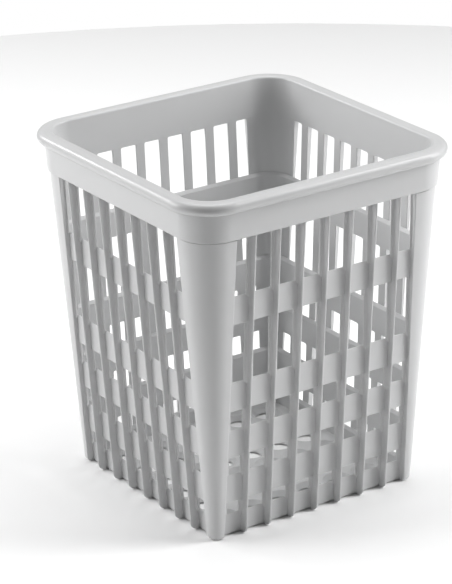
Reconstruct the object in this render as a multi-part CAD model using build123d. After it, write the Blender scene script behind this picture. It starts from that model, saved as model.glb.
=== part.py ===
from build123d import *
from math import atan2, cos, degrees, radians, sin
import os

# A square wastebasket moulded in one piece: upright ribs on all four sides, tied together by
# bands that step inwards towards the floor. Each region of the moulding is a solid of its own.
# Millimetres, +Z up, origin on the floor under the middle, front face towards -Y.

# Ribs and corner posts
rib_count = 7           # ribs on each side
rib_pitch = 25.0        # between the mid-planes of two ribs
rib_web = 2.0           # thickness of a rib's upright web
rib_depth_foot = 7.7    # rib tip to inner face, at the floor
rib_depth_collar = 8.3  # the same at the collar's foot
flange_width = 9.2      # strip along a rib's inner edge, across the wall
flange_wall = 1.4       # thickness of that strip
window_radius = 1.2     # upper corners of a window
post_gap = 21.9         # last rib's mid-plane to the edge of the corner post, at the floor
post_spread = 0.0155    # a post's edges draw nearer the ribs by this much per mm of height
post_flange = 5.4       # strip along the edge of a corner post, across the wall, at the floor
post_recess = 1.8       # corner posts stand this far behind the rib tips
foot_flat = 1.2         # flat under each rib and post, inside the rounded toe

# Body
height = 318.5
draft = 0.0751          # outward lean of the rib tips, mm per mm of height
foot_overhang = 12.7    # post edge to the rib tips at the floor
outer_axis_inset = 2.6  # post edge to the upright axis of the outer corner radii
inner_axis_inset = 0.1  # post edge to the upright axis of the inner corner radii
rim_axis_inset = 1.1    # post edge to the upright axis of the rim's corner radii

# Bands and window rows, from the floor up
base_height = 20.5                      # top of the base skirt
base_clearance = 1.0                    # base skirt and floor stand this far off the ground
low_rows = (11.9, 17.2, 18.4)           # clear heights of the three low window rows
band_heights = (26.8, 25.9, 27.4, 26.2)
band_wall = 2.4                         # each band steps the wall in by its own thickness
bevel_width = 1.8                       # sloping ledge along the top inner edge of a band
bevel_height = 2.9

# Rim and collar
bead_radius = 5.6       # rolled outer edge of the rim
bead_wall = 2.0
roll_offset = 0.7       # skirt's plane, at the rim's underside, to the centre of the roll
bead_end_angle = 70.0   # how far below level the roll continues
rim_depth = 7.2         # mouth edge inside the skirt's plane
rim_edge_radius = 1.5
skirt_height = 25.3     # visible skirt, below the bead
skirt_wall = post_recess
collar_wall = 2.2       # inner wall of the collar

# Floor
floor_wall = 5.0
hole_count = 6          # holes along each side of the square grille
hole_margin = 8.7       # floor edge to the first hole
hole_bar = 4.4          # between two holes, at the top
hole_draft = 3.3        # a hole's radius shrinks by this much towards the ground

# Plan sizes, as half-widths from the middle
post_edge = (rib_count - 1) / 2 * rib_pitch + post_gap
foot_half = post_edge + foot_overhang
outer_corner = post_edge + outer_axis_inset
inner_corner = post_edge + inner_axis_inset
rim_corner = post_edge + rim_axis_inset

# Heights
bead_foot = height - 2 * bead_radius
collar_foot = bead_foot - skirt_height
rim_underside = height - bead_wall
tall_row = (collar_foot - base_height - sum(low_rows) - sum(band_heights)) / 2
rows = (*low_rows, tall_row, tall_row)
top_row = len(rows) - 1

row_feet = [base_height]
band_feet = []
for row, band in zip(rows, band_heights):
    band_feet.append(row_feet[-1] + row)
    row_feet.append(band_feet[-1] + band)
row_heads = [*band_feet, collar_foot]
step_heights = [0.0, *band_feet]

inner_draft = (
    draft * collar_foot + rib_depth_foot - rib_depth_collar - top_row * band_wall
) / collar_foot


def outer_half(z):
    """Half-width across the rib tips and the collar's skirt."""
    return foot_half + draft * z


def inner_half(z, row):
    """Half-width of the inner face in a window row; row 0 is the lowest."""
    return foot_half - rib_depth_foot + inner_draft * z + row * band_wall


def collar_half(z):
    """Half-width of the collar's inner face, which flares to the mouth."""
    foot = inner_half(collar_foot, top_row)
    mouth = outer_half(height) - rim_depth
    return foot + (mouth - foot) * (z - collar_foot) / (rim_underside - collar_foot)


def frustum(half_width, low, high, corner):
    """Rounded-square solid whose corner radii keep the same upright axes at every height."""
    start = half_width(low)
    lean = degrees(atan2(half_width(high) - start, high - low))
    plan = Plane.XY.offset(low) * RectangleRounded(2 * start, 2 * start, start - corner)
    return extrude(plan, amount=high - low, taper=-lean)


def upright(points, low_x, high_x):
    """Solid with an outline of (distance from the middle, height) points, in the front wall."""
    outline = make_face(Polyline(*[(0, -out, z) for out, z in points], close=True))
    return Pos(low_x, 0, 0) * extrude(outline, amount=high_x - low_x, dir=(1, 0, 0))


def strip(low_x, high_x, row, open_sides):
    """Strip lying in the inner face of a window row, with the window's rounded upper corners."""
    low, high = row_feet[row], row_heads[row]
    outline = Pos((low_x + high_x) / 2, (low + high) / 2) * Rectangle(high_x - low_x, high - low)
    for side in open_sides:
        edge = high_x if side > 0 else low_x
        corner = Pos(edge + side * window_radius / 2, high - window_radius / 2)
        fillet_centre = Pos(edge + side * window_radius, high - window_radius)
        outline += corner * Rectangle(window_radius, window_radius) - fillet_centre * Circle(window_radius)
    prism = extrude(Plane.XZ * outline, amount=outer_half(high))
    slab = [
        (inner_half(low, row), low),
        (inner_half(low, row) + flange_wall, low),
        (inner_half(high, row) + flange_wall, high),
        (inner_half(high, row), high),
    ]
    return prism & upright(slab, low_x - window_radius, high_x + window_radius)


def rib():
    """One rib of the front wall, at the middle: a web with a strip along each window row."""
    inner_edge = []
    for row in range(top_row, -1, -1):
        inner_edge.append((inner_half(row_heads[row], row), row_heads[row]))
        inner_edge.append((inner_half(step_heights[row], row), step_heights[row]))
    outline = [
        (outer_half(0), 0),
        (outer_half(collar_foot), collar_foot),
        (outer_half(collar_foot) - skirt_wall, collar_foot),
        (outer_half(rim_underside) - skirt_wall, rim_underside),
        (collar_half(rim_underside) + collar_wall, rim_underside),
        (collar_half(collar_foot) + collar_wall, collar_foot),
        *inner_edge,
    ]
    body = upright(outline, -rib_web / 2, rib_web / 2)
    toe = body.edges().filter_by(Axis.X).sort_by(lambda edge: edge.center().Y + edge.center().Z)[0]
    body = fillet(toe, rib_depth_foot - foot_flat)
    for row in range(len(rows)):
        body += strip(-flange_width / 2, flange_width / 2, row, (-1, 1))
    return body


def corner_post():
    """The front left corner post: solid out to the recessed corner, stepped inside."""
    def post_half(z):
        return outer_half(z) - post_recess

    block = frustum(post_half, 0, rim_underside, outer_corner)
    toe = block.faces().sort_by(Axis.Z)[0].edges()
    block = fillet(toe, rib_depth_foot - post_recess - foot_flat)
    for row in range(len(rows)):
        block -= frustum(lambda z: inner_half(z, row), step_heights[row], row_heads[row], inner_corner)
    block -= frustum(lambda z: collar_half(z) + collar_wall, collar_foot, rim_underside, inner_corner)
    reach = outer_half(height)
    past_edge = [
        (post_edge, 0),
        (reach, 0),
        (reach, height),
        (post_edge - post_spread * height, height),
    ]
    front = upright(past_edge, -reach, 0)
    across_diagonal = Plane((0, 0, 0), z_dir=(1, -1, 0))
    post = block & front & mirror(front, across_diagonal)
    for row in range(len(rows)):
        edge_strip = strip(-post_edge, -post_edge + post_flange, row, (1,))
        post += edge_strip
        post += mirror(edge_strip, across_diagonal)
    return post


def ring(outer, outer_axis, inner, inner_axis, low, high):
    """Rounded-square ring between two leaning faces."""
    return frustum(outer, low, high, outer_axis) - frustum(inner, low, high, inner_axis)


def band(row, low, high):
    """Band under a window row: its outer face carries on the row's inner face downwards."""
    body = ring(
        lambda z: inner_half(z, row), inner_corner,
        lambda z: inner_half(z, row - 1), inner_corner,
        low, high,
    )
    ledge_foot = high - bevel_height

    def ledge_half(z):
        return inner_half(z, row - 1) + bevel_width * (z - ledge_foot) / bevel_height

    return body - frustum(ledge_half, ledge_foot, high, inner_corner)


def rim_bead():
    """Rim: a flat lip round the mouth, rolled over and down on the outside."""
    mouth = outer_half(height) - rim_depth
    roll_x = outer_half(rim_underside) + roll_offset
    roll_z = height - bead_radius
    hollow_radius = bead_radius - bead_wall
    end = radians(-bead_end_angle)

    def on_roll(radius, angle):
        return roll_x + radius * cos(angle), roll_z + radius * sin(angle)

    lip_corner = (mouth + rim_edge_radius, height - rim_edge_radius)
    slant = rim_edge_radius * sin(radians(45))
    outline = [
        Line((mouth, rim_underside), (mouth, height - rim_edge_radius)),
        ThreePointArc(
            (mouth, height - rim_edge_radius),
            (lip_corner[0] - slant, lip_corner[1] + slant),
            (mouth + rim_edge_radius, height),
        ),
        Line((mouth + rim_edge_radius, height), (roll_x, height)),
        ThreePointArc((roll_x, height), on_roll(bead_radius, 0), on_roll(bead_radius, end)),
        Line(on_roll(bead_radius, end), on_roll(hollow_radius, end)),
        ThreePointArc(on_roll(hollow_radius, end), on_roll(hollow_radius, 0), (roll_x, rim_underside)),
        Line((roll_x, rim_underside), (mouth, rim_underside)),
    ]
    section = Plane.XZ * make_face(outline)
    side = Pos(0, rim_corner, 0) * extrude(section, amount=2 * rim_corner)
    turn = revolve(
        Pos(0, rim_corner, 0) * section, Axis((rim_corner, rim_corner, 0), (0, 0, 1)), revolution_arc=90
    )
    quarter = side + turn
    bead = quarter
    for quarter_turn in (90, 180, 270):
        bead += Rot(0, 0, quarter_turn) * quarter
    return bead


def floor_grille():
    """Flat floor with a square grille of round holes that narrow towards the ground."""
    top = base_clearance + floor_wall
    plate = frustum(lambda z: inner_half(z, -1), base_clearance, top, inner_corner)
    span = 2 * (inner_half(base_clearance, -1) - hole_margin)
    hole_radius = (span - (hole_count - 1) * hole_bar) / hole_count / 2
    hole_pitch = 2 * hole_radius + hole_bar
    hole = Pos(0, 0, base_clearance + floor_wall / 2) * Cone(hole_radius - hole_draft, hole_radius, floor_wall)
    return plate - GridLocations(hole_pitch, hole_pitch, hole_count, hole_count) * hole


def write(node, solid):
    export_step(solid, f"parts/{node}.step")
    print(node, len(solid.solids()), round(solid.volume, 1))


def main():
    os.makedirs("parts", exist_ok=True)
    write("rim_bead", rim_bead())
    write("collar_skirt", ring(
        outer_half, outer_corner, lambda z: outer_half(z) - skirt_wall, outer_corner,
        collar_foot, rim_underside,
    ))
    write("collar_wall", ring(
        lambda z: collar_half(z) + collar_wall, inner_corner, collar_half, inner_corner,
        collar_foot, rim_underside,
    ))
    for number, (foot, thickness) in enumerate(zip(band_feet, band_heights), start=1):
        write(f"band_{number}", band(number, foot, foot + thickness))
    write("base_skirt", band(0, base_clearance, base_height))
    write("floor_grille", floor_grille())

    front_rib = rib()
    first_rib = -(rib_count - 1) / 2 * rib_pitch
    for side, turn in (("front", 0), ("right", 90), ("back", 180), ("left", 270)):
        for number in range(rib_count):
            place = Rot(0, 0, turn) * Pos(first_rib + number * rib_pitch, 0, 0)
            write(f"rib_{side}_{number + 1}", place * front_rib)

    post = corner_post()
    for corner, turn in (("front_left", 0), ("front_right", 90), ("back_right", 180), ("back_left", 270)):
        write(f"corner_post_{corner}", Rot(0, 0, turn) * post)


main()
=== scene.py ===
from math import asin, ceil, cos, hypot, pi, radians, sin, sqrt, tan

import bmesh
import bpy
from mathutils import Matrix, Vector


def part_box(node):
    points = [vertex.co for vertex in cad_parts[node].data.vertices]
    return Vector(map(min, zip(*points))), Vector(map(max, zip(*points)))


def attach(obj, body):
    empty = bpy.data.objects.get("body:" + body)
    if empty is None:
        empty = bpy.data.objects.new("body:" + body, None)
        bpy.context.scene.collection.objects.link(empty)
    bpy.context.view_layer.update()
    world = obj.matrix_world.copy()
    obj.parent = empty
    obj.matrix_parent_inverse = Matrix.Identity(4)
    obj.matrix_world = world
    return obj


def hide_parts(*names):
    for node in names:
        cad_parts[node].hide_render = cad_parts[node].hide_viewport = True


# A moulded wastebasket: every region of the moulding is built here with its rounded edges and
# replaces the plain CAD node of the same region. Sizes are in millimetres until mesh_piece().

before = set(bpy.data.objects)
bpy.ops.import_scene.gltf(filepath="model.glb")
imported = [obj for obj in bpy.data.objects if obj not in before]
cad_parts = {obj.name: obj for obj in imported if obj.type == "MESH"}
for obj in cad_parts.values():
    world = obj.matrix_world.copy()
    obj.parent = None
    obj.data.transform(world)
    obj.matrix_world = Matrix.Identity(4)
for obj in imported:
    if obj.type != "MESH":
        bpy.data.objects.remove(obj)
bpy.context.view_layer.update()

MM = 0.001
BODY = "root"


def box_mm(node):
    low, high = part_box(node)
    return low / MM, high / MM


# ---------------------------------------------------------------- sizes

DRAFT = 0.0751             # outward lean of the rib tips, mm per mm of height
BAND_COUNT = 4
BAND_WALL = 2.4
BEVEL_WIDTH = 1.8          # sloping ledge along the top inner edge of a band
BEVEL_HEIGHT = 2.9
BEAD_RADIUS = 5.6          # rolled outer edge of the rim
BEAD_WALL = 2.0
LIP_END = 1.2              # the roll's underside ends this far outside its centre
PARTING_RISE = 3.3         # mould parting line, above the underside of the roll
PARTING_STEP = 0.3
SKIRT_WALL = 1.8
GROOVE_HEIGHT = 0.9        # shadow groove round a post, under the skirt
GROOVE_DEPTH = 0.7
COLLAR_WALL = 2.2
RIM_EDGE_RADIUS = 2.4
RIM_DEPTH = 7.2            # mouth edge inside the skirt's plane

RIBS = 7
RIB_PITCH = 25.0
RIB_TIP = 0.95             # half the web's thickness at its tip
RIB_ROOT = 1.25            # and at its root
FLANGE_HALF = 4.6          # half-width of the strip along a rib's inner edge
FLANGE_WALL = 1.4
FLANGE_BLEND = 1.6         # radius between the strip and the web
FLANGE_FADE = 4.0          # the strip tapers off over this much of the band below
WINDOW_RADIUS = 1.2        # upper corners of a window
FOOT_FLAT = 1.2            # flat under each rib and post, inside the rounded toe
SUNK = 1.0                 # how far a piece runs on inside the one it grows from
MERGE = 0.001              # points nearer than this are one
FLUSH = 0.02               # so little behind a face that it reads as the same face
STEP = 0.01                # height of an abrupt change of section
CLEAR = 0.02               # flat kept beside a rounding, and its radius where there is no room
LAP = 0.6                  # strips run up this far behind the foot of the band above

POST_EDGE = 96.9           # edge of a post, from the middle of the side, at the floor
POST_SPREAD = 0.0155       # the edge draws in by this much per mm of height
STRIP_EDGE = 91.5          # upright edge of the outermost windows
OUTER_AXIS = 99.5          # upright axes of the corner radii
INNER_AXIS = 97.0
RIM_AXIS = 98.0

HOLES = 6
HOLE_MARGIN = 8.7
HOLE_BAR = 4.4
HOLE_DRAFT = 3.3
HOLE_EDGE = 0.5            # radius of a hole's rims
FLOOR_SUNK = 0.8           # how far the floor runs into the base skirt

EDGE = 0.6                 # radius of an ordinary moulded edge
POST_EDGE_RADIUS = 0.9     # and of the posts' long edges
BARE = 0.1                 # width left of a strip where there is none
BARE_WALL = 0.3            # and its thickness
BARE_BLEND = 0.05          # and its blend with the web
FULL = 0.98                # share of the room beside a corner that its rounding takes
STRIP_BACK = 0.9           # rounding of a strip's outer edge, as a share of its inner edge's
HOLE_MIDDLE = 0.3          # midway round a hole's upper rim, as a share of the rim's radius

BROAD = 3.0                # arcs of at least this radius are divided more finely
BROAD_STEP = radians(6)
EDGE_STEP = radians(30)
STRAIGHT = radians(1)      # an outline that turns by less than this keeps its corner
ARC_STEPS = 6              # along each arc of the parting line and of a window's corner
TOE_STEPS = 8              # along the toe of a rib or post
CORNER_STEPS = 14          # round each corner of a band
RIM_CORNER_STEPS = 28      # and of the rim
HOLE_STEPS = 8             # along each quarter of a hole
PARTING_END = radians(75)  # angle below the roll's widest point where its underside begins
SHARP = radians(38)        # edges that turn by more than this are shaded as edges
NORMAL_WEIGHT = 80         # pull of the larger faces on the shading, 50 being even

# Heights and half-widths that the frame gives
HEIGHT = box_mm("rim_bead")[1].z
BEAD_FOOT = HEIGHT - 2 * BEAD_RADIUS
COLLAR_FOOT = box_mm("collar_skirt")[0].z
RIM_UNDERSIDE = box_mm("collar_skirt")[1].z
SKIRT_HALF = box_mm("collar_skirt")[1].x
RIM_HALF = box_mm("rim_bead")[1].x
BASE_FOOT = box_mm("base_skirt")[0].z

# Ring 0 is the base skirt and rings 1 to 4 the bands above it; window row n stands on ring n
RINGS = ["base_skirt"] + [f"band_{n}" for n in range(1, BAND_COUNT + 1)]
RING_LOW = [box_mm(ring)[0].z for ring in RINGS]
RING_HIGH = [box_mm(ring)[1].z for ring in RINGS]
RING_HALF = [box_mm(ring)[1].x for ring in RINGS]
ROWS = range(len(RINGS))
ROW_FEET = RING_HIGH
ROW_HEADS = RING_LOW[1:] + [COLLAR_FOOT]
INNER_LEAN = RING_HALF[-1] - RING_HALF[0] - BAND_COUNT * BAND_WALL
INNER_DRAFT = INNER_LEAN / (RING_HIGH[-1] - RING_HIGH[0])


def outer_half(z):
    """Half-width across the rib tips and the collar's skirt."""
    return SKIRT_HALF - DRAFT * (RIM_UNDERSIDE - z)


def post_half(z):
    return outer_half(z) - SKIRT_WALL


def inner_half(z, row):
    """Half-width of the inner face in window row 0 to 4, or inside the base skirt in row -1."""
    return RING_HALF[0] + INNER_DRAFT * (z - RING_HIGH[0]) + row * BAND_WALL


def collar_half(z):
    """Half-width of the collar's inner face, which flares to the mouth."""
    foot = inner_half(COLLAR_FOOT, ROWS[-1])
    mouth = outer_half(HEIGHT) - RIM_DEPTH
    return foot + (mouth - foot) * (z - COLLAR_FOOT) / (RIM_UNDERSIDE - COLLAR_FOOT)


# ---------------------------------------------------------------- outlines and meshes

def rounded(corners):
    """Closed outline with its (x, y, radius, *rest) corners rounded; rest is carried along."""
    outline = []
    count = len(corners)
    for index, (x, y, radius, *rest) in enumerate(corners):
        before, after = corners[index - 1], corners[(index + 1) % count]
        here = Vector((x, y))
        back = Vector(before[:2]) - here
        ahead = Vector(after[:2]) - here
        turn = pi - back.angle(ahead)
        if radius <= 0 or turn < STRAIGHT:
            outline.append((x, y, *rest))
            continue
        reach = radius * tan(turn / 2)
        start = here + back.normalized() * reach
        end = here + ahead.normalized() * reach
        centre = here + (back.normalized() + ahead.normalized()).normalized() * hypot(reach, radius)
        first = start - centre
        side = 1 if first.x * (end - centre).y - first.y * (end - centre).x > 0 else -1
        arcs = max(2, ceil(turn / (BROAD_STEP if radius >= BROAD else EDGE_STEP)))
        for n in range(arcs + 1):
            angle = side * turn * n / arcs
            spot = centre + Matrix.Rotation(angle, 2) @ first
            outline.append((spot.x, spot.y, *rest))
    return outline


def mesh_piece(name, verts, faces, *nodes):
    """A closed mesh in millimetres becomes a piece that stands for the given CAD nodes."""
    mesh = bpy.data.meshes.new(name)
    mesh.from_pydata([Vector(v) * MM for v in verts], [], faces)
    shell = bmesh.new()
    shell.from_mesh(mesh)
    bmesh.ops.remove_doubles(shell, verts=shell.verts, dist=MERGE * MM)
    bmesh.ops.recalc_face_normals(shell, faces=shell.faces)
    shell.to_mesh(mesh)
    shell.free()
    mesh.shade_smooth()
    mesh.set_sharp_from_angle(angle=SHARP)
    piece = bpy.data.objects.new(name, mesh)
    bpy.context.scene.collection.objects.link(piece)
    normals = piece.modifiers.new("weighted_normals", "WEIGHTED_NORMAL")
    normals.keep_sharp = True
    normals.weight = NORMAL_WEIGHT
    mesh.materials.append(plastic)
    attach(piece, BODY)
    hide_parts(*nodes)


def lofted(sections, closed=False):
    """Vertices and quads through sections of equal point count; end caps unless closed."""
    count = len(sections[0])
    verts = [point for section in sections for point in section]
    faces = []
    spans = len(sections) if closed else len(sections) - 1
    for level in range(spans):
        low = level * count
        high = (level + 1) % len(sections) * count
        for n in range(count):
            after = (n + 1) % count
            faces.append((low + n, low + after, high + after, high + n))
    if not closed:
        faces.append(tuple(reversed(range(count))))
        faces.append(tuple(range(len(verts) - count, len(verts))))
    return verts, faces


def swept_ring(section, corner_steps=CORNER_STEPS):
    """Sweeps a closed (half-width, z, corner axis) section round a rounded square."""
    loops = []
    for quarter in range(4):
        turn = Matrix.Rotation(quarter * pi / 2, 3, "Z")
        for n in range(corner_steps + 1):
            east, north = cos(pi / 2 * n / corner_steps), sin(pi / 2 * n / corner_steps)
            loops.append([
                turn @ Vector((axis + (half - axis) * east, axis + (half - axis) * north, z))
                for half, z, axis in section
            ])
    return lofted(loops, closed=True)


def turned(verts, quarter):
    """The same vertices on the side that many quarter turns anticlockwise from the front."""
    turn = Matrix.Rotation(quarter * pi / 2, 3, "Z")
    return [turn @ Vector(v) for v in verts]


# ---------------------------------------------------------------- material

PLASTIC_IOR = 1.49
DARKER_GREY = (0.585, 0.588, 0.591, 1)
LIGHTER_GREY = (0.605, 0.608, 0.611, 1)
CLOUD_NOISE = (14, 3)              # scale and detail of each noise
GLOSS_NOISE = (40, 1)
GRAIN_NOISE = (1800, 2)
SINK_NOISE = (22, 1)
NOISE_RANGE = (0.3, 0.7)           # noise values that give the two ends of a range
ROUGHNESS_RANGE = (0.285, 0.31)
GRAIN_BUMP = (0.12, 0.0002)        # strength and distance, in metres, of each bump
SINK_BUMP = (0.05, 0.002)


def plastic_material():
    """Satin light grey plastic: fine mould grain, and slightly uneven in tone, gloss and level."""
    material = bpy.data.materials.new("moulded_plastic")
    material.use_nodes = True
    nodes = material.node_tree.nodes
    links = material.node_tree.links
    shader = nodes["Principled BSDF"]
    shader.inputs["IOR"].default_value = PLASTIC_IOR
    place = nodes.new("ShaderNodeTexCoord")

    def noise(scale, detail):
        node = nodes.new("ShaderNodeTexNoise")
        node.inputs["Scale"].default_value = scale
        node.inputs["Detail"].default_value = detail
        links.new(place.outputs["Object"], node.inputs["Vector"])
        return node

    def between(source, low, high):
        node = nodes.new("ShaderNodeMapRange")
        node.inputs["From Min"].default_value, node.inputs["From Max"].default_value = NOISE_RANGE
        node.inputs["To Min"].default_value = low
        node.inputs["To Max"].default_value = high
        links.new(source, node.inputs["Value"])
        return node.outputs["Result"]

    def bump(strength, distance, height):
        node = nodes.new("ShaderNodeBump")
        node.inputs["Strength"].default_value = strength
        node.inputs["Distance"].default_value = distance
        links.new(height.outputs["Fac"], node.inputs["Height"])
        return node

    tint = nodes.new("ShaderNodeMix")
    tint.data_type = "RGBA"
    tint.inputs["A"].default_value = DARKER_GREY
    tint.inputs["B"].default_value = LIGHTER_GREY
    links.new(between(noise(*CLOUD_NOISE).outputs["Fac"], 0, 1), tint.inputs["Factor"])
    links.new(tint.outputs["Result"], shader.inputs["Base Color"])

    gloss = between(noise(*GLOSS_NOISE).outputs["Fac"], *ROUGHNESS_RANGE)
    links.new(gloss, shader.inputs["Roughness"])

    grain = bump(*GRAIN_BUMP, noise(*GRAIN_NOISE))
    sink = bump(*SINK_BUMP, noise(*SINK_NOISE))
    links.new(grain.outputs["Normal"], sink.inputs["Normal"])
    links.new(sink.outputs["Normal"], shader.inputs["Normal"])
    return material


plastic = plastic_material()


# ---------------------------------------------------------------- collar, bands and base skirt

def parting_line(roll_centre):
    """Lower outside of the roll, down from its widest point: a fine step where the mould parts."""
    middle = HEIGHT - BEAD_RADIUS
    split = asin((middle - BEAD_FOOT - PARTING_RISE) / BEAD_RADIUS)
    arcs = ((BEAD_RADIUS, 0, split), (BEAD_RADIUS - PARTING_STEP, split, PARTING_END))
    outline = []
    for radius, start, end in arcs:
        for n in range(ARC_STEPS + 1):
            angle = start + (end - start) * n / ARC_STEPS
            half, z = roll_centre + radius * cos(angle), middle - radius * sin(angle)
            outline.append((half, z, 0, RIM_AXIS))
    return outline


def collar():
    """Rim and collar in one section: inner wall, flat lip, roll, and the skirt outside."""
    skirt_top = outer_half(RIM_UNDERSIDE)
    wall_top = collar_half(RIM_UNDERSIDE)
    wall_foot = collar_half(COLLAR_FOOT)
    skirt_foot = outer_half(COLLAR_FOOT)
    roll_centre = RIM_HALF - BEAD_RADIUS
    lip_end = roll_centre + LIP_END
    hollow = RIM_HALF - BEAD_WALL
    section = rounded([
        (wall_foot, COLLAR_FOOT, EDGE, INNER_AXIS),
        (outer_half(HEIGHT) - RIM_DEPTH, HEIGHT, RIM_EDGE_RADIUS, INNER_AXIS),
        (RIM_HALF, HEIGHT, BEAD_RADIUS, RIM_AXIS),
        *parting_line(roll_centre),
        (lip_end, BEAD_FOOT, EDGE, RIM_AXIS),
        (lip_end, BEAD_FOOT + BEAD_WALL, EDGE, RIM_AXIS),
        (hollow, BEAD_FOOT + BEAD_WALL, BEAD_RADIUS - BEAD_WALL, RIM_AXIS),
        (hollow, RIM_UNDERSIDE, BEAD_RADIUS - BEAD_WALL, RIM_AXIS),
        (skirt_top, RIM_UNDERSIDE, EDGE, OUTER_AXIS),
        (skirt_foot, COLLAR_FOOT, SKIRT_WALL / 2, OUTER_AXIS),
        (skirt_foot - SKIRT_WALL, COLLAR_FOOT, EDGE, OUTER_AXIS),
        (skirt_top - SKIRT_WALL, RIM_UNDERSIDE, EDGE, OUTER_AXIS),
        (wall_top + COLLAR_WALL, RIM_UNDERSIDE, EDGE, INNER_AXIS),
        (wall_foot + COLLAR_WALL, COLLAR_FOOT, EDGE, INNER_AXIS),
    ])
    verts, faces = swept_ring(section, corner_steps=RIM_CORNER_STEPS)
    mesh_piece("collar_and_rim", verts, faces, "rim_bead", "collar_skirt", "collar_wall")


def ring(level):
    """A band, or the base skirt at level 0: outer face, narrow lip, sloping ledge, inner face.

    Its outer face is flush with the inner face of the window row above it.
    """
    low, high = RING_LOW[level], RING_HIGH[level]
    ledge = high - BEVEL_HEIGHT
    section = rounded([
        (inner_half(low, level), low, EDGE, INNER_AXIS),
        (inner_half(high, level), high, EDGE / 2, INNER_AXIS),
        (inner_half(ledge, level - 1) + BEVEL_WIDTH, high, EDGE / 2, INNER_AXIS),
        (inner_half(ledge, level - 1), ledge, EDGE, INNER_AXIS),
        (inner_half(low, level - 1), low, EDGE, INNER_AXIS),
    ])
    verts, faces = swept_ring(section)
    mesh_piece(RINGS[level] + "_moulded", verts, faces, RINGS[level])


# ---------------------------------------------------------------- toes and windows

def toe_heights(radius):
    """Heights up a rounded toe, closer together near the floor."""
    return [radius * (1 - cos(pi / 2 * n / TOE_STEPS)) for n in range(TOE_STEPS + 1)]


def toe_face(z, radius, half):
    """Half-width at z of an outer face that half(z) gives, drawn in round the toe."""
    if z < radius:
        return half(radius) - radius + sqrt(radius ** 2 - (radius - z) ** 2)
    return half(z)


def toe_back(z):
    """Half-width of a toe's inner face: above the foot of the base skirt it is sunk into it."""
    return inner_half(z, 0) - (SUNK if z > BASE_FOOT else 0)


def flare(z, head):
    """Extra half-width of a strip where it rounds into the window's upper corner."""
    drop = head - z
    if drop >= WINDOW_RADIUS:
        return 0
    inside = WINDOW_RADIUS - max(drop, 0)
    return WINDOW_RADIUS - sqrt(WINDOW_RADIUS ** 2 - inside ** 2)


def arch(head):
    """Heights up a window's rounded upper corner, closer together near the top."""
    return [head - WINDOW_RADIUS * cos(pi / 2 * n / ARC_STEPS) for n in range(ARC_STEPS + 1)]


def plane(z, row):
    """Half-width of a strip's inner face: a hair behind the inner face of the bands."""
    return inner_half(z, row) + FLUSH


# ---------------------------------------------------------------- ribs

def rib_section(z, inner, tip, flange):
    """Plan of the front's middle rib: strip (flange is its half-width), blends, web and tip."""
    wall = FLANGE_WALL if flange > RIB_ROOT else BARE_WALL
    blend = FLANGE_BLEND if flange > RIB_ROOT else BARE_BLEND
    edge = min(EDGE, wall / 2 - CLEAR)
    flange = max(flange, RIB_ROOT + BARE)
    room = flange - RIB_ROOT - edge
    blend = min(blend, room * FULL) if room > BARE_BLEND else CLEAR
    step = inner + wall
    outline = rounded([
        (-flange, inner, edge),
        (flange, inner, edge),
        (flange, step, edge * STRIP_BACK),
        (RIB_ROOT, step, blend),
        (RIB_TIP, tip, RIB_TIP * FULL),
        (-RIB_TIP, tip, RIB_TIP * FULL),
        (-RIB_ROOT, step, blend),
        (-flange, step, edge * STRIP_BACK),
    ])
    return [(x, -out, z) for x, out in outline]


def rib_levels():
    """(z, inner, tip, flange half-width) up one rib, with the toe's arc and every window row."""
    radius = outer_half(0) - inner_half(0, 0) - FOOT_FLAT
    levels = []

    def tip_at(z):
        if z > COLLAR_FOOT - STEP:
            return outer_half(z) - SKIRT_WALL + SUNK
        return toe_face(z, radius, outer_half)

    def add(z, inner, flange=0):
        levels.append((z, inner, tip_at(z), flange))

    for z in toe_heights(radius):
        add(z, toe_back(z))
    for row in ROWS:
        foot, head = ROW_FEET[row], ROW_HEADS[row]
        fade, lap = foot - FLANGE_FADE, head + LAP
        add(fade, inner_half(fade, row) - SUNK)
        add(fade + STEP, plane(fade, row), RIB_ROOT + 2 * BARE)
        add(foot, plane(foot, row), FLANGE_HALF)
        for z in arch(head):
            add(z, plane(z, row), FLANGE_HALF + flare(z, head))
        add(lap, plane(lap, row), FLANGE_HALF + WINDOW_RADIUS)
        add(lap + STEP, plane(lap + STEP, row) + SUNK)
    add(RIM_UNDERSIDE, collar_half(RIM_UNDERSIDE) + COLLAR_WALL - SUNK)
    return levels


def ribs():
    sections = [rib_section(*level) for level in rib_levels()]
    verts, faces = lofted(sections)
    first = -(RIBS - 1) / 2 * RIB_PITCH
    for quarter, side in enumerate(("front", "right", "back", "left")):
        for number in range(RIBS):
            shift = first + number * RIB_PITCH
            moved = turned([(x + shift, y, z) for x, y, z in verts], quarter)
            node = f"rib_{side}_{number + 1}"
            mesh_piece(node + "_moulded", moved, faces, node)


# ---------------------------------------------------------------- corner posts

def post_section(z, inner, outer, end, wall):
    """Plan of the front left post: the front's strip and edge, the corner, and the left's."""
    side = POST_EDGE - POST_SPREAD * z
    end = min(end, side - BARE)
    room = side - end - CLEAR
    edge = min(EDGE, wall / 2 - CLEAR)
    strip_edge = min(edge, room) / 2
    blend = min(FLANGE_BLEND if wall == FLANGE_WALL else CLEAR, room) / 2
    step = inner + wall
    outline = rounded([
        (-end, -inner, edge),
        (-end, -step, strip_edge),
        (-side, -step, blend),
        (-side, -outer, POST_EDGE_RADIUS),
        (-outer, -outer, outer - OUTER_AXIS),
        (-outer, -side, POST_EDGE_RADIUS),
        (-step, -side, blend),
        (-step, -end, strip_edge),
        (-inner, -end, edge),
        (-inner, -inner, inner - INNER_AXIS),
    ])
    return [(x, y, z) for x, y in outline]


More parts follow.
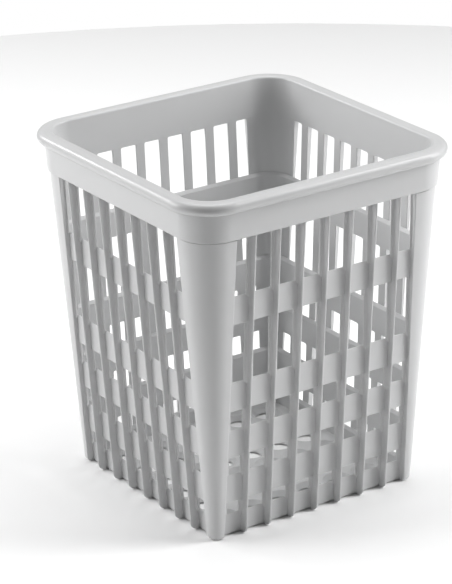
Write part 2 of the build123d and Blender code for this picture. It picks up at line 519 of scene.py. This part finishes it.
def corner_posts():
    """Solid posts, set back by the skirt's wall, with the windows' strips on their inner side."""
    radius = post_half(0) - inner_half(0, 0) - FOOT_FLAT
    sections = []

    def outer_at(z):
        if z > COLLAR_FOOT:
            return post_half(z) + SKIRT_WALL / 2
        if z > COLLAR_FOOT - GROOVE_HEIGHT:
            return post_half(z) - GROOVE_DEPTH
        return toe_face(z, radius, post_half)

    def add(z, inner, end=POST_EDGE, wall=BARE_WALL):
        sections.append(post_section(z, inner, outer_at(z), end, wall))

    for z in toe_heights(radius):
        add(z, toe_back(z))
    for row in ROWS:
        foot, head = ROW_FEET[row], ROW_HEADS[row]
        fade, lap = foot - FLANGE_FADE, head + LAP
        add(fade, inner_half(fade, row) - SUNK)
        add(fade + STEP, plane(fade, row), POST_EDGE, FLANGE_WALL)
        add(foot, plane(foot, row), STRIP_EDGE, FLANGE_WALL)
        for z in arch(head):
            add(z, plane(z, row), STRIP_EDGE - flare(z, head), FLANGE_WALL)
        add(lap, plane(lap, row), STRIP_EDGE - WINDOW_RADIUS, FLANGE_WALL)
        add(lap + STEP, plane(lap + STEP, row) + SUNK)
    add(RIM_UNDERSIDE, collar_half(RIM_UNDERSIDE) + COLLAR_WALL - SUNK)
    verts, faces = lofted(sections)
    for quarter, corner in enumerate(("front_left", "front_right", "back_right", "back_left")):
        node = f"corner_post_{corner}"
        mesh_piece(node + "_moulded", turned(verts, quarter), faces, node)


# ---------------------------------------------------------------- floor

def floor_grille():
    """Flat floor with a square grille of round holes that narrow towards the ground."""
    low, high = box_mm("floor_grille")
    bottom, top = low.z, high.z
    plate = inner_half(bottom, -1)
    span = 2 * (plate - HOLE_MARGIN)
    radius = (span - (HOLES - 1) * HOLE_BAR) / HOLES / 2
    pitch = 2 * radius + HOLE_BAR
    foot_radius = radius - HOLE_DRAFT
    first = -(HOLES - 1) / 2 * pitch
    border = plate + FLOOR_SUNK
    steps = HOLE_STEPS
    verts, faces = [], []

    def loop(points, z):
        start = len(verts)
        verts.extend((x, y, z) for x, y in points)
        return [start + n for n in range(len(points))]

    def circle(x, y, r):
        angles = [5 / 4 * pi + pi / 2 * n / steps for n in range(4 * steps)]
        return [(x + r * cos(a), y + r * sin(a)) for a in angles]

    def skin(outer, inner):
        for n in range(len(outer)):
            after = (n + 1) % len(outer)
            faces.append((outer[n], outer[after], inner[after], inner[n]))

    for column in range(HOLES):
        for line in range(HOLES):
            x, y = first + column * pitch, first + line * pitch
            west = -border if column == 0 else x - pitch / 2
            east = border if column == HOLES - 1 else x + pitch / 2
            south = -border if line == 0 else y - pitch / 2
            north = border if line == HOLES - 1 else y + pitch / 2
            corners = [
                Vector((west, south)),
                Vector((east, south)),
                Vector((east, north)),
                Vector((west, north)),
            ]
            cell = [
                tuple(corners[side].lerp(corners[(side + 1) % 4], n / steps))
                for side in range(4)
                for n in range(steps)
            ]
            loops = [loop(cell, top)]
            for r, z in (
                (radius + HOLE_EDGE, top),
                (radius + HOLE_MIDDLE * HOLE_EDGE, top - HOLE_MIDDLE * HOLE_EDGE),
                (radius, top - HOLE_EDGE),
                (foot_radius, bottom + HOLE_EDGE),
                (foot_radius + HOLE_EDGE, bottom),
            ):
                loops.append(loop(circle(x, y, r), z))
            loops.append(loop(cell, bottom))
            for outer, inner in zip(loops, loops[1:]):
                skin(outer, inner)
            free_sides = (line == 0, column == HOLES - 1, line == HOLES - 1, column == 0)
            for side, free in enumerate(free_sides):
                if not free:
                    continue
                for n in range(side * steps, (side + 1) * steps):
                    after = (n + 1) % (4 * steps)
                    faces.append((loops[0][n], loops[0][after], loops[-1][after], loops[-1][n]))
    mesh_piece("floor_grille_moulded", verts, faces, "floor_grille")


collar()
for level in ROWS:
    ring(level)
ribs()
corner_posts()
floor_grille()


# ---------------------------------------------------------------- stage, light and camera

# Places and sizes are in metres here
CAMERA_AZIMUTH = radians(33.986)
CAMERA_ELEVATION = radians(21.827)
CAMERA_ROLL = radians(-1.101)
CAMERA_PLACE = Vector((-1.36471, -1.99770, 1.14113))
SENSOR_WIDTH = 36           # and the lens, in millimetres
LENS = 234.8

FLOOR_REACH = 1.4
FLOOR_STEPS = 96
FLOOR_WHITE = (0.96, 0.96, 0.96, 1)
FLOOR_ROUGHNESS = 0.9

AIM = Vector((0, 0, 0.16))  # every light points here, at the middle of the basket
SIDE_BOX = (1.0, 1.4)
OVERHEAD_BOX = (1.8, 1.8)
STRIP_BOX = (0.6, 0.5)
AMBIENT = 0.03
WHITE = (1, 1, 1, 1)


def floor_material():
    material = bpy.data.materials.new("pale_floor")
    material.use_nodes = True
    shader = material.node_tree.nodes["Principled BSDF"]
    shader.inputs["Base Color"].default_value = FLOOR_WHITE
    shader.inputs["Roughness"].default_value = FLOOR_ROUGHNESS
    return material


def stage():
    """Round pale floor, small enough to lie wholly in front of every light."""
    angles = [2 * pi * n / FLOOR_STEPS for n in range(FLOOR_STEPS)]
    edge = [(FLOOR_REACH * cos(a), FLOOR_REACH * sin(a), 0) for a in angles]
    mesh = bpy.data.meshes.new("floor")
    mesh.from_pydata(edge, [], [range(FLOOR_STEPS)])
    mesh.materials.append(floor_material())
    floor = bpy.data.objects.new("floor", mesh)
    bpy.context.scene.collection.objects.link(floor)


def softbox(name, across, along, up, size, power):
    """Area light aimed at the basket; across is to the camera's right of it, along is beyond it."""
    light = bpy.data.lights.new(name, "AREA")
    light.shape = "RECTANGLE"
    light.size, light.size_y = size
    light.energy = power
    lamp = bpy.data.objects.new(name, light)
    place = Matrix.Rotation(-CAMERA_AZIMUTH, 3, "Z") @ Vector((across, along, up))
    lamp.location = place
    lamp.rotation_euler = (AIM - place).to_track_quat("-Z", "Y").to_euler()
    bpy.context.scene.collection.objects.link(lamp)


def lights():
    """A softbox and a smaller one on each side, one overhead, and a white surround.

    The surround looks white to the camera and lights the basket far less than that.
    """
    softbox("left_softbox", -1.8, 0.0, 0.9, SIDE_BOX, 23)
    softbox("right_softbox", 1.8, 0.0, 0.9, SIDE_BOX, 26)
    softbox("overhead", 0.0, 0.5, 2.4, OVERHEAD_BOX, 34)
    softbox("left_strip", -1.63, 0.95, 1.15, STRIP_BOX, 12)
    softbox("right_strip", 1.47, 0.0, 1.75, STRIP_BOX, 12)
    world = bpy.data.worlds.new("studio")
    world.use_nodes = True
    nodes = world.node_tree.nodes
    links = world.node_tree.links
    seen = nodes["Background"]
    seen.inputs["Color"].default_value = WHITE
    ambient = nodes.new("ShaderNodeBackground")
    ambient.inputs["Color"].default_value = WHITE
    ambient.inputs["Strength"].default_value = AMBIENT
    path = nodes.new("ShaderNodeLightPath")
    mix = nodes.new("ShaderNodeMixShader")
    links.new(path.outputs["Is Camera Ray"], mix.inputs["Fac"])
    links.new(ambient.outputs["Background"], mix.inputs[1])
    links.new(seen.outputs["Background"], mix.inputs[2])
    links.new(mix.outputs["Shader"], nodes["World Output"].inputs["Surface"])
    bpy.context.scene.world = world


def camera():
    """Seen from above the near corner, with the long lens of a product shot."""
    forward = Vector((
        sin(CAMERA_AZIMUTH) * cos(CAMERA_ELEVATION),
        cos(CAMERA_AZIMUTH) * cos(CAMERA_ELEVATION),
        -sin(CAMERA_ELEVATION),
    ))
    right = Vector((cos(CAMERA_AZIMUTH), -sin(CAMERA_AZIMUTH), 0))
    up = right.cross(forward)
    right_rolled = right * cos(CAMERA_ROLL) + up * sin(CAMERA_ROLL)
    up_rolled = up * cos(CAMERA_ROLL) - right * sin(CAMERA_ROLL)
    data = bpy.data.cameras.new("camera")
    data.sensor_fit = "HORIZONTAL"
    data.sensor_width = SENSOR_WIDTH
    data.lens = LENS
    seen_from = bpy.data.objects.new("camera", data)
    seen_from.matrix_world = Matrix((
        (right_rolled.x, up_rolled.x, -forward.x, CAMERA_PLACE.x),
        (right_rolled.y, up_rolled.y, -forward.y, CAMERA_PLACE.y),
        (right_rolled.z, up_rolled.z, -forward.z, CAMERA_PLACE.z),
        (0, 0, 0, 1),
    ))
    bpy.context.scene.collection.objects.link(seen_from)
    bpy.context.scene.camera = seen_from


stage()
lights()
camera()
bpy.context.scene.view_settings.view_transform = "Standard"
